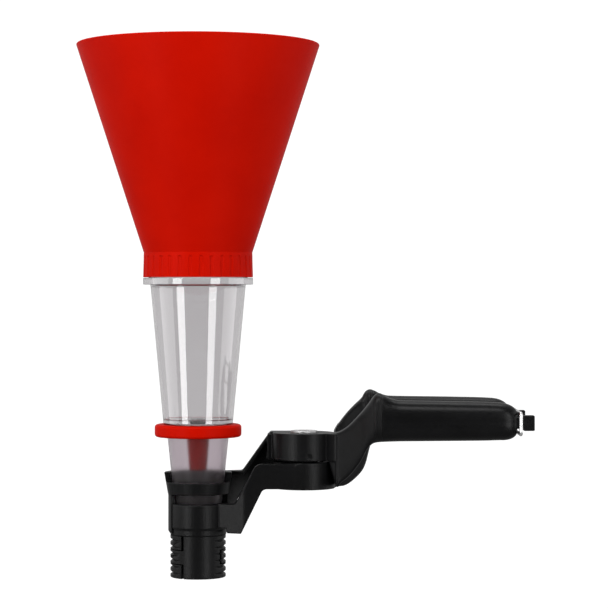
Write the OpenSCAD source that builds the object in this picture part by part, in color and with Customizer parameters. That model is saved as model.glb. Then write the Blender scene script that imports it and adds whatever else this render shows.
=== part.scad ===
// Funnel with a spring-loaded clamp: a hopper screws on a clear reservoir, a quarter-turn valve ring
// closes the reservoir's floor, and a tapered spout drops into a pair of crossing levers whose two
// gripper halves spread inside a filler neck. Millimetres, +Z up, origin at the foot of the gripper.

/* [Hopper] */
// Outer radius of the hopper's rim
rim_r = 75; // [70:0.5:80]
// Height of the rim above the gripper's foot
rim_z = 327.6; // [315:0.1:335]
// Wall thickness of the hopper
hopper_wall = 2; // [1.6:0.1:2.6]
// Outer radius at the hopper's throat
throat_r = 33.4; // [33:0.1:34]
// Height where the cone meets the collar
throat_z = 199.4; // [199:0.1:200]
// Lower edge of the screw collar
collar_z = 184.2; // [184:0.1:184.6]
// Number of grip flutes round the collar
flutes = 32; // [24:1:36]

/* [Reservoir] */
// Outer radius of the reservoir under its flange
cup_top_r = 29.3; // [29:0.1:29.6]
// Outer radius of the reservoir at its floor
cup_foot_r = 21.4; // [21:0.1:22]
// Wall thickness of the reservoir
cup_wall = 1.9; // [1.5:0.1:2.2]
// Lower face of the reservoir
cup_z = 93.95; // [93.9:0.01:94]
// Outer radius of the stop flange
flange_r = 33.9; // [33:0.1:34]

/* [Valve] */
// Outer radius of the valve ring
ring_r = 26.7; // [25:0.1:28]
// Lower face of the valve ring
ring_z = 86.1; // [86:0.1:86.4]
// Height of the valve ring
ring_h = 7.7; // [7.5:0.1:7.8]
// Opening angle of each of the two flow ports
port_deg = 74; // [60:1:80]

/* [Spout] */
// Outer radius of the spout at the valve ring's lower face
spout_r = 18.8; // [18.6:0.1:18.9]
// Lower end of the spout
spout_tip_z = 37; // [36:0.5:40]
// Wall thickness of the spout
spout_wall = 2; // [1.5:0.1:2.5]

/* [Gripper] */
// Outer radius of the closed gripper tube
grip_tube_r = 17.06; // [17:0.01:17.2]
// Length of the gripper tube
grip_tube_h = 26; // [25:0.1:26]
// Bore radius of the gripper tube
grip_bore_r = 13.4; // [13:0.1:13.6]
// Number of V grooves along each side
grooves = 6; // [5:1:7]

/* [Levers] */
// Distance from the spout's axis to the pivot
pivot_x = 65.1; // [64:0.1:66]
// Outer radius of both pivot bosses
boss_r = 19.2; // [18.8:0.1:19.4]
// Lower face of the lower boss
boss_z0 = 54.5; // [54:0.1:55]
// Upper face of the lower boss
boss_z1 = 71; // [70.8:0.1:71.1]
// Lower face of the upper boss
boss_z2 = 72.1; // [72:0.1:72.2]
// Upper face of the upper boss
boss_z3 = 88.7; // [88:0.1:89]

/* [Handles] */
// Distance of each grip's centre line from the middle plane
handle_y = 30; // [29:0.5:31]
// Width of a grip
handle_w = 20; // [18:0.5:22]
// Lower side of the grips
handle_z0 = 84.4; // [84:0.1:85]
// Upper side of the grips
handle_z1 = 109.4; // [108:0.1:110]
// Rounded outer end of the grips
nose_x = 193.4; // [190:0.1:193.4]

/* [Pivot] */
// Radius of the pivot bolt's shank
bolt_r = 5; // [4.5:0.1:5]
// Radius of the pivot bolt's flat head
bolt_head_r = 8.4; // [8:0.1:8.6]
// Number of turns of the torsion spring
spring_turns = 5.5; // [4:0.5:5.5]

/* [Latch] */
// Wire radius of the latch ring
wire_r = 1.1; // [1:0.05:1.15]
// Width of the square stub heads
stub_w = 9.2; // [8.8:0.1:9.4]
// Outer end of the stub heads
stub_x = 204; // [203:0.1:205]

/* [Hidden] */
$fn = 96;
far = 400;
eps = 0.02;

// Colours
red = [0.84, 0.12, 0.03];
clear = [0.78, 0.78, 0.8, 0.45];
frosted = [0.72, 0.7, 0.72, 0.7];
nylon = [0.13, 0.13, 0.14];
grip_black = [0.1, 0.1, 0.11];
steel = [0.72, 0.72, 0.73];
rubber = [0.6, 0.56, 0.54];

// Hopper and its screw joint
cone_slope = (rim_r - throat_r) / (rim_z - throat_z);
shoulder_z = 198.2;
mouth_r = 26.4;
ledge_z = 203.5;
ledge_t = 1.4;
neck_r = 30.4;
neck_wall = 2.4;
neck_top_z = 196.6;
thread_gap = 1.2;
flute_w = 2.1;
flute_depth = 0.45;
flute_z0 = collar_z - 1;
flute_z1 = 196.4;
rim_lip = 0.6;

// Reservoir
cup_floor = 2.7;
cup_floor_z = cup_z + cup_floor;
flange_z0 = 179.7;
flange_z1 = 183.8;
cup_top_z = 178.8;

// Valve
disc_z0 = 88.6;
seal_z0 = 92.2;
ring_top_z = ring_z + ring_h;
ring_round = 1.8;
seal_r = 18.6;
port_in = 7.6;
port_out = 16.4;
core_top_r = 7.2;
core_tip_r = 5.4;
core_tip_z = 65.5;
core_round = 1.4;
screw_r = 2.5;
screw_head_r = 4.6;
screw_head_h = 2.1;
screw_tip_z = 78;
screw_slot_w = 1.2;
run_gap = 0.05;

// Spout and its seats
spout_slope = 0.1016;
seat_gap = 0.35;
spout_top_z = disc_z0;
function spout_at(z) = spout_r - (ring_z - z) * spout_slope;
function seat_at(z) = spout_at(z) + seat_gap;

// Jaws and hoop
jaw_z0 = 26.2;
jaw_step_z = 30.5;
lip_r = 17.5;
front_jaw_r = 18.25;
front_jaw_z1 = 45.6;
rear_jaw_r = 18.4;
rear_foot_r = 16.8;
rear_chamfer_z = 28.6;
tongue_r = 15;
tongue_z1 = 33.2;
hoop_z0 = 51.2;
hoop_z1 = 58.6;
hoop_back_z1 = 64.4;
hoop_r0 = 18.6;
hoop_r1 = 20.9;
bore_in = 8;
band_out = 30;
band_from = 188;
band_to = 352;
function hoop_at(z) = hoop_r0 + (hoop_r1 - hoop_r0) * (z - hoop_z0) / (hoop_back_z1 - hoop_z0);

// Angles about the spout's axis: +X is 0, the front is -90
left_split = 211;
right_split = 359;
split_gap = 2;
outer_finger = 238;
inner_finger = 147;
finger_gap = 3;
finger_play = 0.2;
tongue_from = 70;
tongue_to = 200;
tongue_in_r = grip_bore_r + 0.4;
tongue_z0 = grip_tube_h - 2;
zone_h = grip_tube_h / 3;
foot_chamfer = 0.4;

// Side grooves, cut by rings whose centre is shifted so that they fade out towards the front and back
groove_depth = 1.5;
groove_shift = 4.5;
groove_open = 1.15;
groove_pitch = grip_tube_h / (grooves + 0.5);

// Levers
plate_y0 = 12.4;
plate_y1 = 19.2;
web_clear = 0.6;
rim_y0 = 5;
rim_t = 2.4;
rib_x = 42.6;
rib_t = 2;
rib_reach = 8;
mark_r = 1.6;
mark_x = 3.2;
mark_z = 75;
notch_x = 60;
notch_w = 1;
notch_depth = 1.2;

// Handles
stub_z = 96.2;
neck_w = 6.8;
stub_neck_x = 197.3;
tang_fit = 0.05;
front_hump_x = 112.2;
rear_hump_x = 108.4;
hump_z = 113.6;
bead_r = 0.5;

// Pivot
recess_r = 9.4;
recess_depth = 1.4;
head_h = 1.5;
hex_r = 2.6;
washer_h = 1.2;
pocket_in = 7.4;
pocket_out = 12.4;
pocket_depth = 8.4;
lower_pocket_depth = 7.6;
nut_pocket_r = 11;
nut_pocket_h = 6.6;
nut_r = 9.8;
nut_h = 4.6;
bolt_gap = 0.06;
spring_r = 9.9;
spring_wire = 1.1;
spring_end_gap = 0.3;
spring_steps = 22;

// Latch ring, which turns in a hole through the rear stub
latch_x = 195;
latch_front_y = -41.5;
latch_h = 12.6;
latch_corner = 1.8;
latch_hole_r = wire_r + 0.25;

// A closed outline whose corners [x, y, radius] are rounded by arcs
function xy(p) = [p[0], p[1]];
function rounded_corner(a, b, c, r, steps) =
    let (
        u = (a - b) / norm(a - b),
        v = (c - b) / norm(c - b),
        half = acos(u * v) / 2,
        reach = r / tan(half),
        p = b + u * reach,
        q = b + v * reach,
        centre = b + (u + v) / norm(u + v) * r / sin(half),
        start = atan2(p[1] - centre[1], p[0] - centre[0]),
        turn = atan2(q[1] - centre[1], q[0] - centre[0]) - start,
        sweep = turn > 180 ? turn - 360 : turn < -180 ? turn + 360 : turn
    )
    [for (i = [0 : steps]) centre + r * [cos(start + sweep * i / steps), sin(start + sweep * i / steps)]];
function rounded(points, steps = 5) =
    let (n = len(points))
    [
        for (i = [0 : n - 1])
            let (
                a = xy(points[(i + n - 1) % n]),
                b = xy(points[i]),
                c = xy(points[(i + 1) % n]),
                r = points[i][2]
            )
            each (r > 0 ? rounded_corner(a, b, c, r, steps) : [b])
    ];

// A side outline in X and Z, as wide as needed in Y
module side_profile(points) {
    translate([0, far / 2, 0])
        rotate([90, 0, 0])
            linear_extrude(far)
                polygon(rounded(points));
}

// A plan outline in X and Y, as tall as needed in Z
module plan_profile(points) {
    linear_extrude(far)
        polygon(rounded(points));
}

// Part of a ring between two angles, from a profile in radius and height
module ring_sector(profile, from, to) {
    rotate([0, 0, from])
        rotate_extrude(angle = to - from)
            polygon(profile);
}

module tube(r_out, r_in, z0, z1) {
    difference() {
        translate([0, 0, z0])
            cylinder(r = r_out, h = z1 - z0);
        translate([0, 0, z0 - 1])
            cylinder(r = r_in, h = z1 - z0 + 2);
    }
}

module rounded_bar_section(w, h, r) {
    square([w, h - 2 * r], center = true);
    square([w - 2 * r, h], center = true);
    for (sx = [-1, 1], sy = [-1, 1])
        translate([sx * (w / 2 - r), sy * (h / 2 - r)])
            circle(r);
}

// ---------- Hopper ----------
module hopper() {
    inner_r = neck_r + thread_gap;
    color(red)
        difference() {
            rotate_extrude()
                polygon([
                    [inner_r, collar_z], [throat_r + 0.4, collar_z], [throat_r, throat_z],
                    [rim_r, rim_z - rim_lip], [rim_r - rim_lip, rim_z],
                    [rim_r - hopper_wall, rim_z],
                    [rim_r - hopper_wall - cone_slope * (rim_z - ledge_z), ledge_z],
                    [mouth_r, shoulder_z + ledge_t], [mouth_r, shoulder_z], [inner_r, shoulder_z]
                ]);
            for (i = [0 : flutes - 1])
                rotate([0, 0, (i + 0.5) * 360 / flutes])
                    flute_cut();
        }
}

module flute_cut() {
    half = flute_w / 2;
    arch = [for (i = [0 : 8]) [flute_z1 + half * sin(180 * i / 8), -half * cos(180 * i / 8)]];
    translate([throat_r - flute_depth, 0, 0])
        rotate([0, -90, 180])
            linear_extrude(2)
                polygon(concat([[flute_z0, -half]], arch, [[flute_z0, half]]));
}

module hopper_seal() {
    color(rubber)
        tube(neck_r, mouth_r + 0.6, neck_top_z + eps, shoulder_z - eps);
}

// ---------- Reservoir ----------
module reservoir() {
    in_top = cup_top_r - cup_wall;
    in_foot = cup_foot_r - cup_wall;
    color(clear)
        difference() {
            rotate_extrude()
                polygon([
                    [0, cup_z], [cup_foot_r - 0.5, cup_z], [cup_foot_r, cup_z + 0.5],
                    [cup_top_r, cup_top_z], [cup_top_r + 0.4, flange_z0], [flange_r, flange_z0],
                    [flange_r, flange_z1], [neck_r, flange_z1], [neck_r, neck_top_z],
                    [neck_r - neck_wall, neck_top_z], [in_top, cup_top_z],
                    [in_foot, cup_floor_z], [0, cup_floor_z]
                ]);
            ports(cup_z - 1, cup_floor_z + 1, 90);
            translate([0, 0, cup_z - 1])
                cylinder(r = screw_r + run_gap, h = cup_floor + 2);
            translate([0, 0, cup_floor_z - screw_head_h])
                cylinder(r1 = screw_r + run_gap, r2 = screw_head_r + run_gap, h = screw_head_h);
        }
}

// Two flow ports through a floor or disc
module ports(z0, z1, turned) {
    profile = [[port_in, z0], [port_out, z0], [port_out, z1], [port_in, z1]];
    for (side = [0, 180])
        ring_sector(profile, turned + side - port_deg / 2, turned + side + port_deg / 2);
}

// ---------- Valve ----------
module valve_seal() {
    color(rubber)
        difference() {
            tube(seal_r, screw_r + 0.1, seal_z0, cup_z - run_gap);
            ports(seal_z0 - 1, cup_z + 1, 0);
        }
}

module valve_ring() {
    socket_r = seal_r + 0.1;
    color(red)
        difference() {
            rotate_extrude()
                polygon(rounded([
                    [0, core_tip_z, 0], [core_tip_r, core_tip_z, core_round], [core_top_r, disc_z0 - eps, 0],
                    [spout_at(disc_z0) + eps, disc_z0 - eps, 0], [spout_at(ring_z) + eps, ring_z, 0],
                    [ring_r, ring_z, ring_round], [ring_r, ring_top_z, ring_round],
                    [socket_r, ring_top_z, 0], [socket_r, seal_z0, 0], [0, seal_z0, 0]
                ]));
            ports(disc_z0 - 1, seal_z0 + 1, 0);
            translate([0, 0, screw_tip_z])
                cylinder(r = screw_r, h = far);
        }
}

module valve_screw() {
    color(steel)
        difference() {
            union() {
                translate([0, 0, screw_tip_z])
                    cylinder(r = screw_r, h = cup_floor_z - screw_tip_z);
                translate([0, 0, cup_floor_z - screw_head_h])
                    cylinder(r1 = screw_r, r2 = screw_head_r, h = screw_head_h);
            }
            for (turn = [0, 90])
                rotate([0, 0, turn])
                    translate([0, 0, cup_floor_z])
                        cube([screw_head_r * 1.3, screw_slot_w, 2], center = true);
        }
}

// ---------- Spout ----------
module spout() {
    tip_r = spout_at(spout_tip_z);
    top_r = spout_at(spout_top_z);
    color(frosted)
        rotate_extrude()
            polygon([
                [tip_r - spout_wall, spout_tip_z], [tip_r - 0.6, spout_tip_z], [tip_r, spout_tip_z + 0.6],
                [top_r, spout_top_z - 2 * eps], [top_r - spout_wall, spout_top_z - 2 * eps]
            ]);
}

module spout_seat() {
    z0 = tongue_z1;
    translate([0, 0, z0])
        cylinder(r1 = seat_at(z0), r2 = seat_at(ring_z), h = ring_z - z0);
}

// ---------- Levers ----------
// Plan of an arm that flares from a jaw out to the side of a boss
arm_plan = [
    [13.2, 12.6, 0], [28.5, 18.9, 8], [44, plate_y1, 0], [pivot_x, plate_y1, 0],
    [pivot_x, plate_y0, 0], [31, plate_y0, 8], [14.2, 5, 0]
];
// Plan of the web between a boss and its handle
web_plan = [
    [76, 2, 0], [79, 14, 0], [83.6, 19, 0], [96, 26.4, 8], [106.2, 38.6, 5], [112.2, 40, 0],
    [112.2, 20, 0], [102, 19, 6], [91, 8, 6], [84, 2, 0]
];
rear_web_plan = [
    [76, 2, 0], [79, 14, 0], [83.6, 19, 0], [93, 26, 8], [102.4, 38.6, 5], [rear_hump_x, 40, 0],
    [rear_hump_x, 20, 0], [99, 19, 6], [90, 8, 6], [84, 2, 0]
];
// Side outlines of the arms and webs, X and Z
front_bar_z0 = 55.2;
front_bar_z1 = 70.4;
rear_bar_z0 = 65.6;
front_arm_side = [
    [12.8, 31, 0], [17.6, 31, 0], [18.2, 28, 0], [26.9, 28, 0],
    [40.2, front_bar_z0, 3.5], [70, front_bar_z0, 0], [70, front_bar_z1, 0],
    [36.2, front_bar_z1, 5], [23, front_jaw_z1, 3], [12.8, front_jaw_z1, 0]
];
rear_arm_side = [
    [12.8, 33, 0], [19, 33, 0], [24, 47, 5], [36.5, rear_bar_z0, 3], [56, rear_bar_z0, 0],
    [56, boss_z2, 0], [70, boss_z2, 0], [70, boss_z3, 0], [44.2, boss_z3, 1.6],
    [26.9, hoop_back_z1, 2], [12.8, hoop_back_z1, 0]
];
front_web_side = [
    [76, boss_z2, 0], [84.6, boss_z2, 0], [84.6, 56.8, 0], [94.6, 64.2, 5], [99, 71.5, 6],
    [101.2, 79, 4], [107, 84, 5], [front_hump_x, handle_z0, 0], [front_hump_x, hump_z - 1.2, 0],
    [110.6, hump_z, 1.4], [108.2, hump_z, 2.2], [104.4, 103.9, 6], [85.4, boss_z3, 6], [76, boss_z3, 0]
];
rear_web_side = [
    [76, boss_z0, 0], [88, boss_z0, 8], [97.6, 58.6, 9], [104, 67, 8], [106.6, 76, 5],
    [107, handle_z0, 1.2], [rear_hump_x, handle_z0, 0], [rear_hump_x, hump_z - 1, 0],
    [106.6, hump_z + 0.3, 1.4], [104.6, hump_z + 0.3, 2.4], [85.6, 92.6, 4], [83.8, 89, 0],
    [83.8, boss_z1, 0], [76, boss_z1, 0]
];

module rear_rim() {
    outer = [[14, hoop_back_z1, 0], [26.9, hoop_back_z1, 2], [44.2, boss_z3, 1.6], [50, boss_z3, 0]];
    inner = [
        [50, boss_z3 - rim_t, 0], [45.2, boss_z3 - rim_t, 1.2], [27.6, hoop_back_z1 - rim_t, 3],
        [14, hoop_back_z1 - rim_t, 0]
    ];
    intersection() {
        side_profile(concat(outer, inner));
        plan_profile([
            [14, 8, 0], [30, rim_y0, 4], [60, rim_y0, 0], [60, plate_y1, 0], [44, plate_y1, 0],
            [28.5, 18.9, 8], [13.2, 12.6, 0]
        ]);
    }
}

// Two upright ribs that stiffen the corner between the rear arm and the upper boss
module arm_ribs() {
    rib_h = boss_z3 - 1 - boss_z2;
    translate([rib_x, 1, boss_z2])
        cube([rib_t, plate_y0, rib_h]);
    translate([rib_x + rib_t / 2, 1, boss_z2])
        cube([rib_reach, rib_t, rib_h]);
}

// Double bead round the outside of a handle's shoulder
module shoulder_beads(x, y) {
    for (dx = [1, 4.2])
        translate([x - dx, y, (handle_z0 + hump_z) / 2 - 0.4])
            rotate([0, 90, 0])
                linear_extrude(1, center = true)
                    rounded_bar_section(hump_z - handle_z0 - 1.6, handle_w + 2 * bead_r, 8);
}

// Square tang inside a grip, ending in the stub that the latch ring hooks over
module tang(x0, y) {
    translate([x0, y - stub_w / 2, stub_z - stub_w / 2])
        cube([stub_x - x0, stub_w, stub_w]);
}

module stub_neck_cut(y) {
    translate([(nose_x + stub_neck_x) / 2, y, stub_z])
        difference() {
            cube([stub_neck_x - nose_x, stub_w + 2, stub_w + 2], center = true);
            cube([stub_neck_x - nose_x + 1, neck_w, neck_w], center = true);
        }
}

module at_pivot() {
    translate([pivot_x, 0, 0])
        children();
}

module upper_lever() {
    rear_jaw = [
        [tongue_r, jaw_z0], [rear_foot_r, jaw_z0], [rear_jaw_r, rear_chamfer_z],
        [rear_jaw_r, hoop_z0 + 0.5], [seat_at(hoop_z0) - 1.5, hoop_z0 + 0.5],
        [seat_at(tongue_z1) - 1, tongue_z1], [tongue_r, tongue_z1]
    ];
    hoop = [
        [seat_at(hoop_z0) - 1.5, hoop_z0], [hoop_at(hoop_z0), hoop_z0],
        [hoop_at(hoop_back_z1), hoop_back_z1], [seat_at(hoop_z0) - 1.5, hoop_back_z1]
    ];
    above_band = [[bore_in, hoop_z1], [band_out, hoop_z1], [band_out, ring_z], [bore_in, ring_z]];
    color(nylon)
        difference() {
            union() {
                ring_sector(rear_jaw, right_split - 360 + split_gap, left_split - split_gap);
                difference() {
                    rotate_extrude()
                        polygon(hoop);
                    ring_sector(above_band, band_from, band_to);
                }
                intersection() {
                    side_profile(rear_arm_side);
                    plan_profile(arm_plan);
                }
                rear_rim();
                arm_ribs();
                at_pivot()
                    translate([0, 0, boss_z2])
                        cylinder(r = boss_r, h = boss_z3 - boss_z2);
                intersection() {
                    side_profile(front_web_side);
                    mirror([0, 1, 0])
                        plan_profile(web_plan);
                }
                shoulder_beads(front_hump_x, -handle_y);
                tang(front_hump_x - 4, -handle_y);
            }
            spout_seat();
            tongue_bore();
            at_pivot()
                upper_boss_cuts();
            stub_neck_cut(-handle_y);
        }
}

module upper_boss_cuts() {
    translate([0, 0, boss_z2 - 1])
        cylinder(r = bolt_r, h = far);
    translate([0, 0, boss_z3 - recess_depth])
        cylinder(r = recess_r, h = far);
    translate([0, 0, boss_z2])
        pocket_ring(pocket_depth);
    // the lower boss turns under here
    translate([0, 0, -1])
        cylinder(r = boss_r + web_clear, h = boss_z2 + 1);
    // small round mark on the front of the drum
    translate([mark_x, -boss_r - 0.6, mark_z])
        rotate([-90, 0, 0])
            cylinder(r = mark_r, h = 1.4, $fn = 32);
}

// The round pocket for the spring, open downwards at z = 0
module pocket_ring(h) {
    difference() {
        translate([0, 0, -1])
            cylinder(r = pocket_out, h = h + 1);
        translate([0, 0, -2])
            cylinder(r = pocket_in, h = h + 3);
    }
}

module tongue_bore() {
    translate([0, 0, jaw_z0 - 1])
        cylinder(r = tongue_r, h = tongue_z1 - jaw_z0 + 1);
}

module lower_lever() {
    front_jaw = [
        [tongue_r, jaw_z0], [lip_r, jaw_z0], [lip_r, jaw_step_z - 0.5], [front_jaw_r, jaw_step_z + 0.3],
        [front_jaw_r, front_jaw_z1 - 0.6], [front_jaw_r - 0.6, front_jaw_z1],
        [seat_at(hoop_z0) - 1.5, front_jaw_z1], [seat_at(tongue_z1) - 1, tongue_z1], [tongue_r, tongue_z1]
    ];
    color(nylon)
        difference() {
            union() {
                ring_sector(front_jaw, left_split + split_gap, right_split - split_gap);
                intersection() {
                    side_profile(front_arm_side);
                    mirror([0, 1, 0])
                        plan_profile(arm_plan);
                }
                at_pivot()
                    translate([0, 0, boss_z0])
                        cylinder(r = boss_r, h = boss_z1 - boss_z0);
                intersection() {
                    side_profile(rear_web_side);
                    plan_profile(rear_web_plan);
                }
                shoulder_beads(rear_hump_x, handle_y);
                tang(rear_hump_x - 4, handle_y);
            }
            spout_seat();
            tongue_bore();
            at_pivot()
                lower_boss_cuts();
            // hole for the latch ring's wire
            translate([latch_x, handle_y, stub_z - stub_w])
                cylinder(r = latch_hole_r, h = 2 * stub_w);
            // small notch on top of the front bar
            translate([notch_x, -plate_y1, front_bar_z1])
                cube([notch_w, notch_depth, 2 * notch_w], center = true);
        }
}

module lower_boss_cuts() {
    translate([0, 0, boss_z0 - 1])
        cylinder(r = bolt_r + bolt_gap, h = far);
    translate([0, 0, boss_z0 - 1])
        cylinder(r = nut_pocket_r, h = nut_pocket_h + 1);
    translate([0, 0, boss_z1])
        mirror([0, 0, 1])
            pocket_ring(lower_pocket_depth);
    // the upper boss turns over here
    translate([0, 0, boss_z1 + eps])
        cylinder(r = boss_r + web_clear, h = far);
}

// ---------- Gripper halves ----------
// Half of the closed tube: its thirds reach round the sides by turns, and a tongue goes up into the jaw
module gripper_blank() {
    back = outer_finger - 180 + finger_gap;
    side = inner_finger - 180 + finger_gap;
    difference() {
        rotate_extrude()
            polygon([
                [grip_bore_r, 0], [grip_tube_r - foot_chamfer, 0], [grip_tube_r, foot_chamfer],
                [grip_tube_r, grip_tube_h], [grip_bore_r, grip_tube_h]
            ]);
        away(back, -1, zone_h + finger_play);
        away(side, zone_h - finger_play, 2 * zone_h + finger_play);
        away(back, 2 * zone_h - finger_play, grip_tube_h + 1);
    }
    ring_sector(
        [[tongue_in_r, tongue_z0], [tongue_r - eps, tongue_z0],
         [tongue_r - eps, tongue_z1 - eps], [tongue_in_r, tongue_z1 - eps]],
        tongue_from, tongue_to
    );
}

// Clears the half circle that belongs to the other half, less the gaps at both ends
module away(from, z0, z1) {
    span = 180 - 2 * finger_gap;
    r0 = grip_bore_r - 4;
    r1 = grip_tube_r + 4;
    ring_sector([[r0, z0], [r1, z0], [r1, z1], [r0, z1]], from + span, from + 360);
}

module groove_rings() {
    valley_r = grip_tube_r - groove_depth + groove_shift;
    reach = groove_depth + 1;
    for (side = [-1, 1], i = [0 : grooves - 1])
        translate([-side * groove_shift, 0, (i + 0.75) * groove_pitch])
            rotate_extrude()
                polygon([
                    [valley_r, 0], [valley_r + reach, groove_open * reach / groove_depth],
                    [valley_r + reach, -groove_open * reach / groove_depth]
                ]);
}

module rear_gripper() {
    color(nylon)
        difference() {
            gripper_blank();
            groove_rings();
        }
}

module front_gripper() {
    color(nylon)
        rotate([0, 0, 180])
            difference() {
                gripper_blank();
                groove_rings();
            }
}

// ---------- Grips ----------
// A rounded sleeve over a tang, with a flared mouth and a domed nose
module grip_sleeve(mouth_x, y) {
    color(grip_black)
        difference() {
            union() {
                hull() {
                    grip_slice(mouth_x + 0.02, y, handle_z0, hump_z - 1.6, handle_w);
                    grip_slice(mouth_x + 5, y, handle_z0, handle_z1 + 1.4, handle_w);
                }
                hull() {
                    grip_slice(mouth_x + 2, y, handle_z0, handle_z1 + 0.2, handle_w);
                    grip_slice(mouth_x + 60, y, handle_z0, handle_z1, handle_w);
                    grip_slice(nose_x - 10, y, handle_z0 + 0.5, handle_z1 - 0.3, handle_w);
                    grip_slice(nose_x - 4, y, handle_z0 + 2.2, handle_z1 - 2.4, handle_w - 3.6);
                    grip_slice(nose_x - 1, y, handle_z0 + 5.2, handle_z1 - 6.6, handle_w - 9);
                }
            }
            translate([0, y - stub_w / 2 - tang_fit, stub_z - stub_w / 2 - tang_fit])
                cube([far, stub_w + 2 * tang_fit, stub_w + 2 * tang_fit]);
        }
}

module grip_slice(x, y, z0, z1, w) {
    translate([x, y, (z0 + z1) / 2])
        rotate([0, 90, 0])
            linear_extrude(1)
                rounded_bar_section(z1 - z0, w, w * 0.46, $fn = 32);
}

module front_grip() {
    grip_sleeve(front_hump_x, -handle_y);
}

module rear_grip() {
    grip_sleeve(rear_hump_x, handle_y);
}

// ---------- Pivot ----------
module pivot_bolt() {
    head_z = boss_z3 - recess_depth + washer_h;
    color(steel)
        at_pivot()
            difference() {
                union() {
                    translate([0, 0, boss_z0 + 0.4])
                        cylinder(r = bolt_r, h = head_z - boss_z0);
                    translate([0, 0, head_z])
                        cylinder(r1 = bolt_head_r, r2 = bolt_head_r - 0.5, h = head_h);
                }
                translate([0, 0, head_z + head_h - 0.5])
                    cylinder(r = hex_r, h = 2, $fn = 6);
            }
}

module head_washer() {
    z0 = boss_z3 - recess_depth;
    color(steel)
        at_pivot()
            tube(recess_r - 0.1, bolt_r, z0, z0 + washer_h);
}

module thrust_washer() {
    color(steel)
        at_pivot()
            tube(pocket_in - 0.2, bolt_r, boss_z1 + run_gap, boss_z2);
}

module nut_washer() {
    z1 = boss_z0 + nut_pocket_h - run_gap;
    color(steel)
        at_pivot()
            tube(nut_pocket_r - 0.4, bolt_r, z1 - washer_h, z1);
}

module pivot_nut() {
    z1 = boss_z0 + nut_pocket_h - run_gap - washer_h;
    color(steel)
        at_pivot()
            difference() {
                translate([0, 0, z1 - nut_h])
                    cylinder(r = nut_r, h = nut_h, $fn = 6);
                translate([0, 0, z1 - nut_h - 1])
                    cylinder(r = bolt_r, h = nut_h + 2);
            }
}

// Sweeps a round wire along a list of points
function unit(v) = v / norm(v);
function wire_frame(path, i) =
    let (
        a = path[max(i - 1, 0)],
        b = path[min(i + 1, len(path) - 1)],
        t = unit(b - a),
        side = unit(cross(t, abs(t[2]) > 0.9 ? [1, 0, 0] : [0, 0, 1]))
    )
    [side, cross(side, t)];
module wire(path, r, sides = 8) {
    n = len(path);
    rings = [
        for (i = [0 : n - 1])
            let (f = wire_frame(path, i))
            for (k = [0 : sides - 1])
                path[i] + r * (f[0] * cos(360 * k / sides) + f[1] * sin(360 * k / sides))
    ];
    skin = [
        for (i = [0 : n - 2], k = [0 : sides - 1])
            let (here = i * sides, there = here + sides, next = (k + 1) % sides)
            [here + k, here + next, there + next, there + k]
    ];
    first = [[for (k = [sides - 1 : -1 : 0]) k]];
    last = [[for (k = [0 : sides - 1]) (n - 1) * sides + k]];
    polyhedron(rings, concat(skin, first, last));
}

module torsion_spring() {
    z0 = boss_z1 - lower_pocket_depth + spring_wire + spring_end_gap;
    z1 = boss_z2 + pocket_depth - spring_wire - spring_end_gap;
    steps = round(spring_turns * spring_steps);
    coil = [
        for (i = [0 : steps])
            let (a = 360 * spring_turns * i / steps)
            [spring_r * cos(a), spring_r * sin(a), z0 + (z1 - z0) * i / steps]
    ];
    color(steel)
        at_pivot()
            wire(coil, spring_wire);
}

// ---------- Latch ----------
// A closed wire loop: one end passes through the rear stub, the other hooks over the front stub
module latch_ring() {
    z0 = stub_z - latch_h / 2;
    z1 = stub_z + latch_h / 2;
    long = handle_y - latch_front_y;
    color(steel)
        translate([latch_x, 0, 0]) {
            translate([0, handle_y, z0 + latch_corner])
                cylinder(r = wire_r, h = latch_h - 2 * latch_corner, $fn = 32);
            translate([0, latch_front_y, z0 + latch_corner])
                cylinder(r = wire_r, h = latch_h - 2 * latch_corner, $fn = 32);
            for (z = [z0, z1])
                translate([0, latch_front_y + latch_corner, z])
                    rotate([-90, 0, 0])
                        cylinder(r = wire_r, h = long - 2 * latch_corner, $fn = 32);
            latch_bend(handle_y - latch_corner, z1 - latch_corner, 0);
            latch_bend(latch_front_y + latch_corner, z1 - latch_corner, 90);
            latch_bend(latch_front_y + latch_corner, z0 + latch_corner, 180);
            latch_bend(handle_y - latch_corner, z0 + latch_corner, 270);
        }
}

module latch_bend(y, z, turn) {
    translate([0, y, z])
        rotate([turn, 0, 0])
            rotate([90, 0, 90])
                rotate_extrude(angle = 90)
                    translate([latch_corner, 0])
                        circle(wire_r, $fn = 32);
}

hopper();
hopper_seal();
reservoir();
valve_seal();
valve_ring();
valve_screw();
spout();
upper_lever();
lower_lever();
rear_gripper();
front_gripper();
front_grip();
rear_grip();
pivot_bolt();
head_washer();
thrust_washer();
nut_washer();
pivot_nut();
torsion_spring();
latch_ring();
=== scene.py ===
"""Looks for a clamp-on oil funnel: red hopper, clear reservoir, frosted spout, black nylon clamp."""
import math

import bmesh
import bpy
from mathutils import Matrix, Vector


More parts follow.
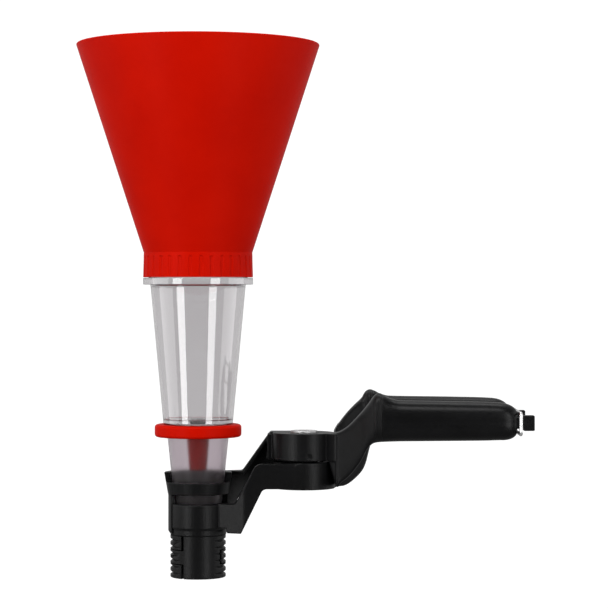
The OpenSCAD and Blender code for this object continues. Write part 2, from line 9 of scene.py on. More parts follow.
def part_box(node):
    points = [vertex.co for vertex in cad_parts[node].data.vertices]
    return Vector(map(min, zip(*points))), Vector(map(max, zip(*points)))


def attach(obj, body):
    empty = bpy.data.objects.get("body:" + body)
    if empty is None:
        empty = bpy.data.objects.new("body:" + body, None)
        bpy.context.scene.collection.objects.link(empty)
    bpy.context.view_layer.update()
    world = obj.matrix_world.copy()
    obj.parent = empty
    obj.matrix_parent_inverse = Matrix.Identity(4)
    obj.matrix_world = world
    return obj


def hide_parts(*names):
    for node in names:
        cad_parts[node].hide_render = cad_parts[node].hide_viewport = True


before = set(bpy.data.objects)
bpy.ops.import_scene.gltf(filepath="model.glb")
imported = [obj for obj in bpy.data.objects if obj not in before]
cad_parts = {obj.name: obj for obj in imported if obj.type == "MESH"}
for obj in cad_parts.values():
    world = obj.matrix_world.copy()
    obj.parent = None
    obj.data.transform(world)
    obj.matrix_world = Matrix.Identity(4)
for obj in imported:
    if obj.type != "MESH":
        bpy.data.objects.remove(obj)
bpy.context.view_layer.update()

MM = 0.001
PIVOT = Vector((0.0651, 0.0, 0.0))
HANDLE_Y = 30.0  # mm from the middle plane to each grip's centre line
LATCH_X = 195.0  # mm to the latch ring's plane
LATCH_HOLE_R = 1.35
OTHER_BOSS_ROOM_R = 19.8  # mm round the pivot that each web keeps free for the other lever's boss
PORT_R0, PORT_R1 = 7.6, 16.4  # mm, inner and outer radius of the valve's flow ports
PORT_HALF_DEG = 37  # half the angle that a port spans
THREAD_Z0, THREAD_Z1, THREAD_PITCH = 186.2, 195.2, 5.0
THREAD_HEIGHT = 0.85
TURNS = 160  # segments round a lathed piece, unless it asks for another number
RING_POINTS = 96  # points round a section of a web, bead or grip
FLOOR_Z = -0.5
SEEN_WHITE = 1.1  # how bright the floor and the backdrop are to the camera
THROUGH_TINT = (1.0, 0.97, 0.985)
THROUGH_BACK = 0.57  # how bright the backdrop is through the clear plastic
THROUGH_FRONT = 0.42  # the same for the room in front
FILL_BACK = 0.55  # how bright the backdrop is as a light and in reflections
FILL_FRONT = 0.08  # the same for the room in front


# ---------- Outlines ----------
def rounded(points, steps=6):
    """A closed outline in mm from corners (a, b, radius), with arcs at the corners that have a radius."""
    out = []
    for i, (x, y, r) in enumerate(points):
        b = Vector((x, y))
        if r <= 0:
            out.append(b)
            continue
        u = (Vector(points[i - 1][:2]) - b).normalized()
        v = (Vector(points[(i + 1) % len(points)][:2]) - b).normalized()
        half = u.angle(v) / 2
        centre = b + (u + v).normalized() * r / math.sin(half)
        p = b + u * r / math.tan(half) - centre
        q = b + v * r / math.tan(half) - centre
        sweep = p.angle_signed(q)
        for k in range(steps + 1):
            turn = -sweep * k / steps
            c = math.cos(turn)
            s = math.sin(turn)
            out.append(centre + Vector((p.x * c - p.y * s, p.x * s + p.y * c)))
    return out


def between(a, b, t):
    """A square outline point on the line a to b: it keeps a long wall's shading true up to its end."""
    return a[0] + (b[0] - a[0]) * t, a[1] + (b[1] - a[1]) * t, 0


def smooth_path(keys, steps):
    """Rows of numbers passed through smoothly, by Catmull-Rom, with so many steps between two keys."""
    out = []
    for i in range(len(keys) - 1):
        a = keys[max(i - 1, 0)]
        b = keys[i]
        c = keys[i + 1]
        d = keys[min(i + 2, len(keys) - 1)]
        for k in range(steps):
            t = k / steps
            out.append([
                q + 0.5 * ((r - p) * t + (2 * p - 5 * q + 4 * r - s) * t**2 + (3 * q - p - 3 * r + s) * t**3)
                for p, q, r, s in zip(a, b, c, d)
            ])
    out.append(list(keys[-1]))
    return out


# ---------- Meshes ----------
def add_object(name, bm, sharp_deg=None):
    bmesh.ops.recalc_face_normals(bm, faces=bm.faces)
    mesh = bpy.data.meshes.new(name)
    bm.to_mesh(mesh)
    bm.free()
    mesh.shade_smooth()
    if sharp_deg:
        mesh.set_sharp_from_angle(angle=math.radians(sharp_deg))
    obj = bpy.data.objects.new(name, mesh)
    bpy.context.scene.collection.objects.link(obj)
    return obj


def lathe(name, outline, turns=TURNS, reshape=None, sharp_deg=40):
    """Turns a closed outline (radius, height) in mm about Z; reshape(radius, height, angle) moves radii."""
    bm = bmesh.new()
    rings = []
    for k in range(turns):
        a = 2 * math.pi * k / turns
        ring = []
        for r, z in outline:
            rr = reshape(r, z, a) if reshape else r
            ring.append(bm.verts.new((rr * math.cos(a) * MM, rr * math.sin(a) * MM, z * MM)))
        rings.append(ring)
    n = len(outline)
    for k in range(turns):
        here = rings[k]
        there = rings[(k + 1) % turns]
        for i in range(n):
            j = (i + 1) % n
            bm.faces.new((here[i], there[i], there[j], here[j]))
    bmesh.ops.remove_doubles(bm, verts=bm.verts, dist=1e-6)
    bmesh.ops.dissolve_degenerate(bm, edges=bm.edges, dist=1e-7)
    return add_object(name, bm, sharp_deg)


def loft(name, sections, sharp_deg=50):
    """A closed skin over rings of points in mm, with both ends capped."""
    bm = bmesh.new()
    rings = [[bm.verts.new(Vector(p) * MM) for p in ring] for ring in sections]
    n = len(rings[0])
    for here, there in zip(rings, rings[1:]):
        for i in range(n):
            j = (i + 1) % n
            bm.faces.new((here[i], here[j], there[j], there[i]))
    for ring in (rings[0], rings[-1]):
        middle = bm.verts.new(sum((v.co for v in ring), Vector()) / n)
        for i in range(n):
            bm.faces.new((ring[i], ring[(i + 1) % n], middle))
    return add_object(name, bm, sharp_deg)


def oval(x, y0, y1, z0, z1, power, groove=0.0):
    """A superellipse ring in the plane across X: power 2 is an ellipse, and a larger one is squarer.
    groove is the depth of a seam at mid height on both sides."""
    points = []
    for k in range(RING_POINTS):
        a = 2 * math.pi * (k + 0.5) / RING_POINTS
        c = math.cos(a)
        s = math.sin(a)
        y = (y0 + y1) / 2 + (y1 - y0) / 2 * math.copysign(abs(c) ** (2 / power), c)
        z = (z0 + z1) / 2 + (z1 - z0) / 2 * math.copysign(abs(s) ** (2 / power), s)
        if groove and abs(s) < 2 * math.pi / RING_POINTS:
            y += math.copysign(groove, -c)
        points.append((x, y, z))
    return points


def block(name, lo, hi, bevel=0.0):
    """A box in mm with its edges bevelled."""
    bm = bmesh.new()
    bmesh.ops.create_cube(bm, size=1)
    for v in bm.verts:
        v.co = Vector([(a + b) / 2 + c * (b - a) for a, b, c in zip(lo, hi, v.co)]) * MM
    if bevel:
        bmesh.ops.bevel(bm, geom=bm.edges, offset=bevel * MM, segments=3, profile=0.5, affect="EDGES")
    return add_object(name, bm, 30)


def apply_modifiers(obj):
    depsgraph = bpy.context.evaluated_depsgraph_get()
    mesh = bpy.data.meshes.new_from_object(obj.evaluated_get(depsgraph))
    obj.modifiers.clear()
    obj.data = mesh


def joined(name, parts):
    """One mesh from several objects, which are removed."""
    bm = bmesh.new()
    for obj in parts:
        bm.from_mesh(obj.data)
        bpy.data.objects.remove(obj)
    return add_object(name, bm)


def moulded(obj, voxel, rounds, keep):
    """Fuses a mesh into one skin whose corners are rounded as a mould leaves them."""
    remesh = obj.modifiers.new("skin", "REMESH")
    remesh.mode = "VOXEL"
    remesh.voxel_size = voxel * MM
    soften = obj.modifiers.new("soften", "SMOOTH")
    soften.factor = 0.5
    soften.iterations = rounds
    thin = obj.modifiers.new("thin", "DECIMATE")
    thin.ratio = keep
    apply_modifiers(obj)
    obj.data.shade_smooth()
    return obj


def cad_copy(node, name, cut_x=None):
    """A copy of a CAD node's mesh, welded, and cut off beyond cut_x where that is given."""
    bm = bmesh.new()
    bm.from_mesh(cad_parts[node].data)
    bmesh.ops.remove_doubles(bm, verts=bm.verts, dist=1e-6)
    if cut_x is not None:
        geom = bm.verts[:] + bm.edges[:] + bm.faces[:]
        sliced = bmesh.ops.bisect_plane(
            bm, geom=geom, plane_co=(cut_x * MM, 0, 0), plane_no=(1, 0, 0), clear_outer=True
        )
        edges = [e for e in sliced["geom_cut"] if isinstance(e, bmesh.types.BMEdge)]
        bmesh.ops.holes_fill(bm, edges=edges)
    return add_object(name, bm)


def show(piece, body, slot, material, *nodes):
    """Puts a piece on its body in its material, and takes the CAD nodes it stands for out of view."""
    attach(piece, body)
    piece.data.materials.clear()
    piece.data.materials.append(material)
    if nodes:
        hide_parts(*nodes)


# ---------- Materials ----------
def new_material(name):
    mat = bpy.data.materials.new(name)
    mat.use_nodes = True
    return mat, mat.node_tree.nodes, mat.node_tree.links, mat.node_tree.nodes["Principled BSDF"]


def noise(nodes, links, scale, detail=3.0, rough=0.6):
    place = nodes.new("ShaderNodeTexCoord")
    tex = nodes.new("ShaderNodeTexNoise")
    tex.inputs["Scale"].default_value = scale
    tex.inputs["Detail"].default_value = detail
    tex.inputs["Roughness"].default_value = rough
    links.new(place.outputs["Object"], tex.inputs["Vector"])
    return tex


def vary(nodes, links, tex, low, high, socket, start=0.35, end=0.65):
    """Runs a noise between two greys or two colours into a socket."""
    ramp = nodes.new("ShaderNodeValToRGB")
    for stop, position, value in zip(ramp.color_ramp.elements, (start, end), (low, high)):
        stop.position = position
        stop.color = (*value, 1) if isinstance(value, tuple) else (value, value, value, 1)
    links.new(tex.outputs["Fac"], ramp.inputs["Fac"])
    links.new(ramp.outputs["Color"], socket)


def bump(nodes, links, tex, shader, strength, distance):
    node = nodes.new("ShaderNodeBump")
    node.inputs["Strength"].default_value = strength
    node.inputs["Distance"].default_value = distance
    links.new(tex.outputs["Fac"], node.inputs["Height"])
    links.new(node.outputs["Normal"], shader.inputs["Normal"])


def red_plastic():
    """Satin moulded polypropylene with faint flow clouds and a fine skin."""
    mat, nodes, links, shader = new_material("red_plastic")
    clouds = noise(nodes, links, 22, 4, 0.55)
    vary(nodes, links, clouds, (0.405, 0.0034, 0.0001), (0.445, 0.0044, 0.0002), shader.inputs["Base Color"])
    skin = noise(nodes, links, 900, 2)
    vary(nodes, links, skin, 0.40, 0.47, shader.inputs["Roughness"])
    bump(nodes, links, skin, shader, 0.06, 0.0002)
    shader.inputs["Specular IOR Level"].default_value = 0.10
    shader.inputs["IOR"].default_value = 1.18
    return mat


def clear_plastic():
    """Water-clear moulding with faint wipe marks."""
    mat, nodes, links, shader = new_material("clear_plastic")
    shader.inputs["Base Color"].default_value = (0.93, 0.925, 0.93, 1)
    shader.inputs["Transmission Weight"].default_value = 1.0
    shader.inputs["IOR"].default_value = 1.47
    shader.inputs["Specular IOR Level"].default_value = 1.0
    shader.inputs["Coat Weight"].default_value = 0.8
    shader.inputs["Coat IOR"].default_value = 1.6
    marks = noise(nodes, links, 60, 4)
    vary(nodes, links, marks, 0.015, 0.05, shader.inputs["Roughness"])
    return mat


def frosted_plastic():
    """Translucent moulding with a sand-blasted skin."""
    mat, nodes, links, shader = new_material("frosted_plastic")
    shader.inputs["Base Color"].default_value = (0.85, 0.80, 0.83, 1)
    shader.inputs["Transmission Weight"].default_value = 0.985
    shader.inputs["IOR"].default_value = 1.18
    skin = noise(nodes, links, 2600, 3)
    vary(nodes, links, skin, 0.28, 0.38, shader.inputs["Roughness"])
    bump(nodes, links, skin, shader, 0.05, 0.0001)
    return mat


def black_plastic(name, low, high, rough_low, rough_high, grain, strength):
    """Black nylon: a fine grain in its skin and slight greying in the wear clouds."""
    mat, nodes, links, shader = new_material(name)
    clouds = noise(nodes, links, 45, 5, 0.62)
    vary(nodes, links, clouds, (low, low, low * 1.06), (high, high, high * 1.08), shader.inputs["Base Color"])
    skin = noise(nodes, links, grain, 2)
    vary(nodes, links, skin, rough_low, rough_high, shader.inputs["Roughness"])
    bump(nodes, links, skin, shader, strength, 0.0003)
    shader.inputs["Specular IOR Level"].default_value = 0.26
    shader.inputs["IOR"].default_value = 1.33
    return mat


def steel(name, grey, rough_low, rough_high, scale):
    """Metal with wear clouds and a fine brushed skin."""
    mat, nodes, links, shader = new_material(name)
    shader.inputs["Metallic"].default_value = 1.0
    wear = noise(nodes, links, scale, 4)
    vary(nodes, links, wear, (grey * 0.82,) * 3, (grey,) * 3, shader.inputs["Base Color"])
    brush = noise(nodes, links, scale * 12, 2)
    vary(nodes, links, brush, rough_low, rough_high, shader.inputs["Roughness"])
    bump(nodes, links, brush, shader, 0.05, 0.0001)
    return mat


def soft_rubber():
    """Pale silicone with a little dust."""
    mat, nodes, links, shader = new_material("rubber")
    dust = noise(nodes, links, 120, 4)
    vary(nodes, links, dust, (0.52, 0.47, 0.45), (0.60, 0.55, 0.53), shader.inputs["Base Color"])
    vary(nodes, links, dust, 0.45, 0.6, shader.inputs["Roughness"])
    return mat


RED = red_plastic()
CLEAR = clear_plastic()
FROSTED = frosted_plastic()
NYLON = black_plastic("black_nylon", 0.0020, 0.0038, 0.32, 0.44, 1500, 0.22)
GRIP = black_plastic("black_grip", 0.0020, 0.0036, 0.28, 0.38, 1100, 0.08)
ZINC = steel("zinc_steel", 0.52, 0.42, 0.55, 160)
SPRING = steel("spring_steel", 0.74, 0.16, 0.28, 220)
BLACK_STEEL = steel("black_washer", 0.06, 0.35, 0.5, 160)
RUBBER = soft_rubber()


# ---------- Hopper ----------
def make_hopper():
    """The cone and its screw collar, with a round-topped flute at each of its grips."""
    flutes = 32
    flute_top = 197.4
    flute_half = 1.05
    flute_depth = 0.42
    collar_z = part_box("hopper")[0].z / MM
    rim_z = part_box("hopper")[1].z / MM
    rim_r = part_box("hopper")[1].x / MM
    throat_r = 33.4
    throat_z = 199.4
    wall = 2.0
    slope = (rim_r - throat_r) / (rim_z - throat_z)

    def cone(z):
        return throat_r + (z - throat_z) * slope

    def fluted(r, z, a):
        if z > flute_top or r < throat_r - 0.6:
            return r
        pitch = 2 * math.pi / flutes
        off = abs((a / pitch) % 1 - 0.5) * pitch * r
        arch = math.sqrt(max(flute_half**2 - max(z - flute_top + flute_half, 0) ** 2, 0))
        return r - flute_depth * min(max((arch - off) / 0.25, 0), 1) if arch > 0 else r

    outline = [
        (31.6, collar_z, 0.3), (throat_r + 0.4, collar_z, 0.35),
        (throat_r + 0.36, collar_z + 1.5, 0), (throat_r + 0.15, 193, 0), (throat_r + 0.1, 195.5, 0)
    ]
    outline += [(throat_r + 0.09, flute_top - flute_half + flute_half * k / 6, 0) for k in range(7)]
    outline += [
        (throat_r, throat_z, 0.5), (cone(230), 230, 0), (cone(270), 270, 0),
        (rim_r, rim_z, 0.75), (rim_r - wall, rim_z, 0.75),
        (cone(203.5) - wall, 203.5, 1.2), (26.6, 199.6, 0.5), (26.6, 198.2, 0.3), (31.6, 198.2, 0)
    ]
    piece = lathe("hopper_shell", rounded(outline), turns=flutes * 16, reshape=fluted, sharp_deg=35)
    show(piece, "hopper_unit", "red_plastic", RED, "hopper")


# ---------- Reservoir ----------
def port_cutters(name, z0, z1, middle_deg):
    """Two opposite ring sectors, used to cut flow ports."""
    parts = []
    for side in (0, 180):
        bm = bmesh.new()
        steps = 18
        rows = []
        for k in range(steps + 1):
            a = math.radians(middle_deg + side - PORT_HALF_DEG + 2 * PORT_HALF_DEG * k / steps)
            rows.append([
                bm.verts.new((r * math.cos(a) * MM, r * math.sin(a) * MM, z * MM))
                for r, z in ((PORT_R0, z0), (PORT_R1, z0), (PORT_R1, z1), (PORT_R0, z1))
            ])
        for here, there in zip(rows, rows[1:]):
            for i in range(4):
                j = (i + 1) % 4
                bm.faces.new((here[i], here[j], there[j], there[i]))
        bm.faces.new(rows[0])
        bm.faces.new(rows[-1])
        parts.append(add_object(f"{name}_{side}", bm))
    return joined(name, parts)


def cut(piece, cutter):
    """Takes a cutter's shape out of a piece; the cutter is removed."""
    mod = piece.modifiers.new("cut", "BOOLEAN")
    mod.object = cutter
    mod.operation = "DIFFERENCE"
    mod.solver = "EXACT"
    apply_modifiers(piece)
    bpy.data.objects.remove(cutter)
    piece.data.set_sharp_from_angle(angle=math.radians(35))


def make_reservoir():
    """The tapered cup with its foot ring, stop flange and neck, and two ports through its floor."""
    z0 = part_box("reservoir")[0].z / MM
    z1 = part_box("reservoir")[1].z / MM
    flange_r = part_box("reservoir")[1].x / MM
    floor_z = z0 + 2.7
    foot = (21.4, z0 + 0.3)
    brow = (29.3, 178.8)
    inner_foot = (19.6, floor_z)
    inner_brow = (27.4, 178.8)
    outline = [
        (2.6, z0, 0), (19.4, z0, 0), (19.7, z0 + 0.9, 0.2), (20.7, z0 + 0.9, 0.2), (21.0, z0, 0.2),
        (*foot, 0.3), between(foot, brow, 0.02), between(foot, brow, 0.98), (*brow, 0),
        (29.7, 179.7, 0.25), (flange_r, 179.7, 0.35), (flange_r, 183.8, 0.35), (30.4, 183.8, 0.3),
        (30.4, z1, 0.5), (28.0, z1, 0.4), (*inner_brow, 1.5), between(inner_brow, inner_foot, 0.04),
        between(inner_brow, inner_foot, 0.96), (*inner_foot, 1.1), (4.8, floor_z, 0), (2.6, floor_z - 2.1, 0)
    ]
    piece = lathe("reservoir_cup", rounded(outline), sharp_deg=40)
    cut(piece, port_cutters("floor_ports", z0 - 1, floor_z + 1, 90))
    show(piece, "reservoir_unit", "clear_plastic", CLEAR, "reservoir")


def helix_ridge(name, radius, height, start_deg):
    """A rounded thread ridge on a cylinder, which runs out at both ends; a negative height points inward."""
    sections = []
    turns = (THREAD_Z1 - THREAD_Z0) / THREAD_PITCH
    steps = int(turns * 72)
    for k in range(steps + 1):
        t = k / steps
        a = math.radians(start_deg) + 2 * math.pi * turns * t
        z = THREAD_Z0 + (THREAD_Z1 - THREAD_Z0) * t
        grow = min(1, 12 * t, 12 * (1 - t)) * height
        root = radius - math.copysign(0.25, height)
        flank = radius + grow * 0.8
        sections.append([
            (r * math.cos(a), r * math.sin(a), z + dz)
            for r, dz in ((root, -0.9), (flank, -0.35), (radius + grow, 0), (flank, 0.35), (root, 0.9))
        ])
    return loft(name, sections, 60)


def make_threads():
    """The ridges of neck and collar, half a turn apart so that each runs between the other's turns."""
    male = helix_ridge("neck_thread", 30.4, THREAD_HEIGHT, 0)
    show(male, "reservoir_unit", "clear_plastic", CLEAR)
    female = helix_ridge("collar_thread", 31.6, -THREAD_HEIGHT, 180)
    show(female, "hopper_unit", "red_plastic", RED)


# ---------- Valve and spout ----------
def make_valve_ring():
    """The red hand ring, its ported disc and the hollow core that hangs down in the spout."""
    z0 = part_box("valve_ring")[0].z / MM
    outline = [
        (0, 65.5, 0), (5.4, 65.5, 1.4), (7.2, 88.58, 0.3), (19.0, 88.58, 0), (18.8, 86.1, 0),
        (26.7, 86.1, 1.9), (26.7, 93.8, 1.9), (18.7, 93.8, 0.2), (18.7, 92.2, 0), (2.5, 92.2, 0),
        (2.5, 78, 0), (0, 78, 0)
    ]
    piece = lathe("valve_ring_moulding", rounded(outline, 10), sharp_deg=40)
    cut(piece, port_cutters("disc_ports", z0 + 21, 95, 0))
    show(piece, "spout_unit", "red_plastic", RED, "valve_ring")


def make_spout():
    """The frosted taper tube."""
    low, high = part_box("spout")
    z0 = low.z / MM
    z1 = high.z / MM
    tip_r = 13.81
    top_r = high.x / MM
    wall = 2
    outline = [(tip_r - wall, z0, 0.4), (tip_r, z0, 0.7), (top_r, z1, 0.2), (top_r - wall, z1, 0.2)]
    piece = lathe("spout_cone", rounded(outline), sharp_deg=50)
    show(piece, "spout_unit", "frosted_plastic", FROSTED, "spout")


# ---------- Clamp ----------
def web_sections(side, keys):
    """Rings across X for a handle's web, on one side of the middle plane."""
    rings = []
    for x, near, far, z0, z1, power in smooth_path(keys, 5):
        y0, y1 = sorted((side * near, side * far))
        rings.append(oval(x, y0, y1, z0, z1, power))
    return rings


# Sections from boss to grip in mm: x, near y, far y, low z, high z, squareness
FRONT_WEB = [
    (80.0, 4, 15, 72.6, 88.4, 9),
    (84.7, 3.5, 19, 57.0, 89.4, 9),
    (88.0, 6.2, 21.4, 59.4, 90.7, 7),
    (92.8, 10, 25.3, 63.6, 94.4, 5.4),
    (98.9, 15, 30.6, 71.6, 101.2, 4.4),
    (102.6, 18, 34.6, 78.8, 105.8, 3.8),
    (105.0, 19.4, 37.2, 82.4, 109.2, 3.4),
    (107.0, 20, 39.2, 84.0, 112.2, 3.1),
    (108.8, 20, 40, 84.5, 113.8, 2.9),
    (110.4, 20, 40, 84.7, 114.3, 2.8),
    (112.3, 20, 40, 84.8, 113.8, 2.8)
]
REAR_WEB = [
    (80.0, 4, 15, 54.8, 70.8, 9),
    (84.6, 3.5, 19, 54.6, 90.0, 9),
    (87.2, 5.4, 20.8, 54.7, 94.2, 7),
    (90.4, 8, 23, 54.9, 98.3, 5.6),
    (94.0, 11.4, 26.6, 56.5, 102.2, 4.6),
    (97.2, 14.4, 30.4, 58.8, 105.2, 4.2),
    (100.0, 16.8, 33.6, 61.3, 107.6, 3.8),
    (101.7, 18.1, 35.6, 63.3, 109.4, 3.5),
    (102.9, 18.8, 36.9, 65.3, 111.6, 3.2),
    (104.4, 19.5, 38.4, 69.2, 113.2, 3.0),
    (106.5, 20, 39.6, 77.4, 114.0, 2.8),
    (108.5, 20, 40, 84.3, 113.6, 2.8)
]


def bead(name, x, z_top, side):
    """A raised band round a handle's shoulder."""
    y = side * HANDLE_Y
    rings = [
        oval(x + dx, y - 10 - dr, y + 10 + dr, 85.0 - dr / 4, z_top - 0.3 + dr / 3, 2.9)
        for dx, dr in ((-1.0, -0.4), (-0.35, 0.75), (0.35, 0.75), (1.0, -0.4))
    ]
    return loft(name, rings)


def stub(name, side, necked):
    """The square end that stands out of a grip, with a thinner neck where the ring hooks over it."""
    y = side * HANDLE_Y
    mid = 96.2
    half = 4.6
    neck = 3.4 if necked else half
    return [
        block(name + "_neck", (190, y - neck, mid - neck), (198.5, y + neck, mid + neck)),
        block(name + "_head", (197.3, y - half, mid - half), (204, y + half, mid + half))
    ]


def make_lever(node, body, side, keys, cut_x, bead_x, necked):
    """A CAD lever up to cut_x, with a rounded web, shoulder beads and stub. necked marks the upper lever,
    whose stub the ring hooks over; the lower lever's stub holds the ring in a hole."""
    washer_z0, washer_z1 = (corner.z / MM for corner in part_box("thrust_washer"))
    low, high = (40, washer_z1) if necked else (washer_z0, 120)
    room = lathe("room", [(0.0, low), (OTHER_BOSS_ROOM_R, low), (OTHER_BOSS_ROOM_R, high), (0.0, high)])
    room.data.transform(Matrix.Translation(PIVOT))
    web = loft(node + "_web", web_sections(side, keys))
    cut(web, room)
    parts = [
        cad_copy(node, node + "_body", cut_x),
        web,
        bead(node + "_bead_a", bead_x - 3.8, 112.8, side),
        bead(node + "_bead_b", bead_x - 0.7, 113.8, side)
    ]
    parts += stub(node, side, necked)
    piece = joined(node + "_moulding", parts)
    moulded(piece, 0.38, 2, 0.35)
    if not necked:
        drill = lathe("drill", [(0.0, 80), (LATCH_HOLE_R, 80), (LATCH_HOLE_R, 110), (0.0, 110)], turns=32)
        drill.data.transform(Matrix.Translation((LATCH_X * MM, side * HANDLE_Y * MM, 0)))
        cut(piece, drill)
    show(piece, body, "black_nylon", NYLON, node)


def make_grip(node, body, side, mouth_x):
    """A sleeve with a flared mouth, a mould seam at mid height and a domed nose."""
    nose_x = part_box(node)[1].x / MM
    # x, low z, high z, width and squareness, in mm
    keys = [
        (mouth_x, 84.8, 113.5, 20.2, 2.8),
        (mouth_x + 1.5, 84.9, 113.0, 20.0, 2.8),
        (mouth_x + 4.0, 85.0, 111.6, 20.0, 2.7),
        (mouth_x + 7.5, 85.1, 110.5, 20.0, 2.6),
        (mouth_x + 13, 85.2, 109.9, 20.2, 2.5),
        (150, 85.4, 109.5, 20.6, 2.5),
        (172, 85.6, 109.1, 20.4, 2.5),
        (180, 85.8, 108.8, 20.2, 2.5),
        (nose_x - 10, 85.9, 108.6, 20.0, 2.5)
    ]
    rows = smooth_path(keys, 6)
    x0, z0, z1, w, power = rows[-1]
    for k in range(1, 9):
        a = math.pi / 2 * k / 8
        shrink = 1 - 0.47 * (1 - math.cos(a))
        middle = (z0 + z1) / 2 - 0.7 * math.sin(a)
        reach = (z1 - z0) / 2 * shrink
        x = x0 + (nose_x - x0) * math.sin(a)
        rows.append((x, middle - reach, middle + reach, w * shrink, power))
    y = side * HANDLE_Y
    rings = [oval(x, y - w / 2, y + w / 2, z0, z1, power, groove=0.22) for x, z0, z1, w, power in rows]
    piece = loft(node + "_sleeve", rings)
    show(piece, body, "black_grip", GRIP, node)


def make_gripper(node, body):
    """A ridged half of the tube, with its edges softened."""
    piece = cad_copy(node, node + "_half")
    moulded(piece, 0.2, 1, 0.3)
    show(piece, body, "black_nylon", NYLON, node)


def make_bolt():
    """The pivot's shank and its low turned head with a hex socket."""
    low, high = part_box("pivot_bolt")
    z0 = low.z / MM
    z1 = high.z / MM
    head_z = z1 - 1.5
    shank_r = 5.0
    head_r = 8.4
    outline = [
        (0, z0, 0), (shank_r, z0, 0.5), (shank_r, head_z, 0), (head_r, head_z, 0.15), (head_r, z1, 0.5),
        (3.6, z1, 0.2), (3.3, z1 - 0.15, 0), (0, z1 - 0.15, 0)
    ]
    piece = lathe("pivot_bolt_turned", rounded(outline), turns=96)
    socket_z = z1 - 1.2
    cut(piece, lathe("socket", [(0, socket_z), (2.6, socket_z), (2.6, z1), (0, z1)], turns=6))
    piece.data.transform(Matrix.Translation(PIVOT))
    show(piece, "clamp_frame", "zinc_steel", ZINC, "pivot_bolt")


# ---------- Latch ring ----------
def make_latch():
    """A closed wire ring, bent to a rounded rectangle in the plane across X."""
    low, high = (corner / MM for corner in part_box("latch_ring"))
    wire_r = (high.x - low.x) / 2
    x = (low.x + high.x) / 2
    y0, y1 = low.y + wire_r, high.y - wire_r
    z0, z1 = low.z + wire_r, high.z - wire_r
    bend_r = 1.8
    path = rounded([(y0, z0, bend_r), (y1, z0, bend_r), (y1, z1, bend_r), (y0, z1, bend_r)], 8)
    curve = bpy.data.curves.new("latch_wire", "CURVE")
    curve.dimensions = "3D"
    curve.bevel_depth = wire_r * MM
    curve.bevel_resolution = 5
    line = curve.splines.new("POLY")
    line.points.add(len(path) - 1)
    for point, (y, z) in zip(line.points, path):
        point.co = (x * MM, y * MM, z * MM, 1)
    line.use_cyclic_u = True
    obj = bpy.data.objects.new("latch_wire", curve)
    bpy.context.scene.collection.objects.link(obj)
    mesh = bpy.data.meshes.new_from_object(obj)
    bpy.data.objects.remove(obj)
    piece = bpy.data.objects.new("latch_wire_ring", mesh)
    bpy.context.scene.collection.objects.link(piece)
    mesh.shade_smooth()
    show(piece, "latch", "spring_steel", SPRING, "latch_ring")


def dress_cad():
    """Gives the CAD nodes that stay their materials."""
    kept = {
        "hopper_seal": RUBBER, "valve_seal": RUBBER, "valve_screw": ZINC,
        "head_washer": BLACK_STEEL, "thrust_washer": ZINC, "nut_washer": ZINC, "pivot_nut": ZINC,
        "torsion_spring": SPRING
    }
    for node, material in kept.items():
        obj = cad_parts[node]
        for held in obj.material_slots:
            held.material = material


# ---------- Studio ----------
def overexposed(nodes, links, base, through, seen, output):
    """White where the camera sees it, greyer through clear plastic, and base for the light it gives back."""
    path = nodes.new("ShaderNodeLightPath")
    through.inputs["Color"].default_value = (*THROUGH_TINT, 1)
    seen.inputs["Color"].default_value = (1, 1, 1, 1)
    seen.inputs["Strength"].default_value = SEEN_WHITE
    inner = nodes.new("ShaderNodeMixShader")
    links.new(path.outputs["Is Transmission Ray"], inner.inputs["Fac"])
    links.new(base, inner.inputs[1])
    links.new(through.outputs[0], inner.inputs[2])
    outer = nodes.new("ShaderNodeMixShader")
    links.new(path.outputs["Is Camera Ray"], outer.inputs["Fac"])
    links.new(inner.outputs[0], outer.inputs[1])
    links.new(seen.outputs[0], outer.inputs[2])
    links.new(outer.outputs[0], output)


def make_floor():
    """A plain round floor below the object."""
    bm = bmesh.new()
    bmesh.ops.create_circle(bm, cap_ends=True, segments=64, radius=3)
    floor = add_object("studio_floor", bm)
    floor.location.z = FLOOR_Z
    mat, nodes, links, shader = new_material("studio_white")
    shader.inputs["Base Color"].default_value = (0.3, 0.3, 0.3, 1)
    shader.inputs["Roughness"].default_value = 0.9
    shader.inputs["Specular IOR Level"].default_value = 0.0
    through = nodes.new("ShaderNodeEmission")
    seen = nodes.new("ShaderNodeEmission")
    through.inputs["Strength"].default_value = THROUGH_BACK
    overexposed(nodes, links, shader.outputs[0], through, seen, nodes["Material Output"].inputs["Surface"])
    floor.data.materials.append(mat)


def softbox(name, azimuth, distance, height, width, tall, power):
    """An area light that faces the object; azimuth 0 is the front, and it grows towards the handles."""
    a = math.radians(azimuth)
    light = bpy.data.lights.new(name, "AREA")
    light.shape = "RECTANGLE"
    light.size = width
    light.size_y = tall
    light.energy = power
    obj = bpy.data.objects.new(name, light)
    target = Vector((0.03, 0, 0.17))
    obj.location = target + Vector((math.sin(a) * distance, -math.cos(a) * distance, height))
    obj.rotation_mode = "QUATERNION"
    obj.rotation_quaternion = (target - obj.location).to_track_quat("-Z", "Y")
    obj.visible_camera = False
    obj.visible_transmission = False
    bpy.context.scene.collection.objects.link(obj)


def make_lights():
    softbox("left_box", -42, 1.6, 0.15, 0.56, 1.55, 16)
    softbox("right_box", 38, 1.6, 0.15, 0.58, 1.55, 14)
    softbox("left_side", -84, 1.6, 0.2, 1.3, 1.3, 8)
    softbox("right_side", 90, 1.6, 0.2, 1.3, 1.3, 7.5)
    softbox("top_front", -12, 0.75, 1.15, 1.3, 0.5, 14)
    softbox("top_back", 180, 0.5, 1.3, 1.2, 0.6, 7)


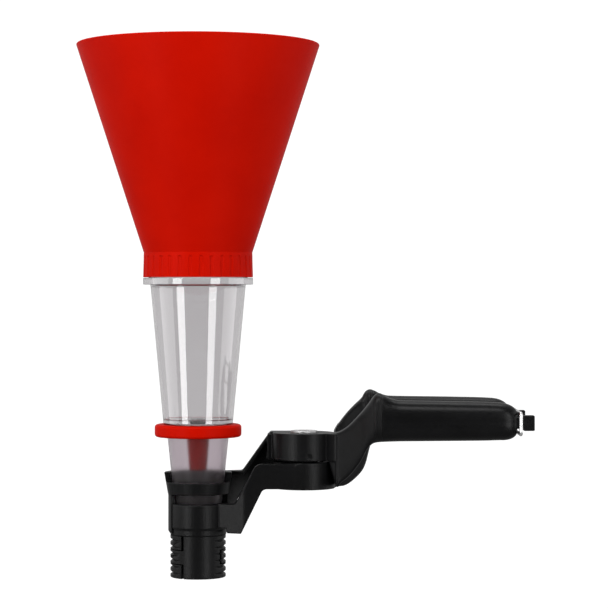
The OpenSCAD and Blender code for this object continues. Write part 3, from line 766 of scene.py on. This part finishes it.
def make_world():
    """A bright sweep behind the object and a dim room in front of it."""
    world = bpy.data.worlds.new("studio")
    world.use_nodes = True
    bpy.context.scene.world = world
    nodes = world.node_tree.nodes
    links = world.node_tree.links
    place = nodes.new("ShaderNodeTexCoord")
    split = nodes.new("ShaderNodeSeparateXYZ")
    links.new(place.outputs["Generated"], split.inputs["Vector"])
    fill = nodes["Background"]
    through = nodes.new("ShaderNodeBackground")
    seen = nodes.new("ShaderNodeBackground")
    for shader, front, back in ((fill, FILL_FRONT, FILL_BACK), (through, THROUGH_FRONT, THROUGH_BACK)):
        ramp = nodes.new("ShaderNodeMapRange")
        ramp.interpolation_type = "SMOOTHSTEP"
        ramp.inputs["From Min"].default_value = -0.3
        ramp.inputs["From Max"].default_value = 0.4
        ramp.inputs["To Min"].default_value = front
        ramp.inputs["To Max"].default_value = back
        links.new(split.outputs["Y"], ramp.inputs["Value"])
        links.new(ramp.outputs["Result"], shader.inputs["Strength"])
    fill.inputs["Color"].default_value = (1, 1, 1, 1)
    overexposed(nodes, links, fill.outputs[0], through, seen, nodes["World Output"].inputs["Surface"])


def make_camera():
    """A level view along +Y from a long lens, at the height where the object's rings look flat."""
    data = bpy.data.cameras.new("camera")
    data.lens = 137.2
    data.sensor_width = 36
    data.shift_y = -0.0263
    data.clip_end = 30
    camera = bpy.data.objects.new("camera", data)
    camera.location = (0.0652, -1.427, 0.1776)
    camera.rotation_euler = (math.radians(90), 0, 0)
    bpy.context.scene.collection.objects.link(camera)
    bpy.context.scene.camera = camera


make_camera()
make_hopper()
make_reservoir()
make_threads()
make_valve_ring()
make_spout()
make_lever("upper_lever", "clamp_frame", -1, FRONT_WEB, 85.0, 112.2, True)
make_lever("lower_lever", "clamp_arm", 1, REAR_WEB, 84.9, 108.4, False)
make_grip("front_grip", "clamp_frame", -1, 112.2)
make_grip("rear_grip", "clamp_arm", 1, 108.4)
make_gripper("rear_gripper", "clamp_frame")
make_gripper("front_gripper", "clamp_arm")
make_bolt()
make_latch()
dress_cad()
make_floor()
make_lights()
make_world()
bpy.context.scene.view_settings.view_transform = "Standard"
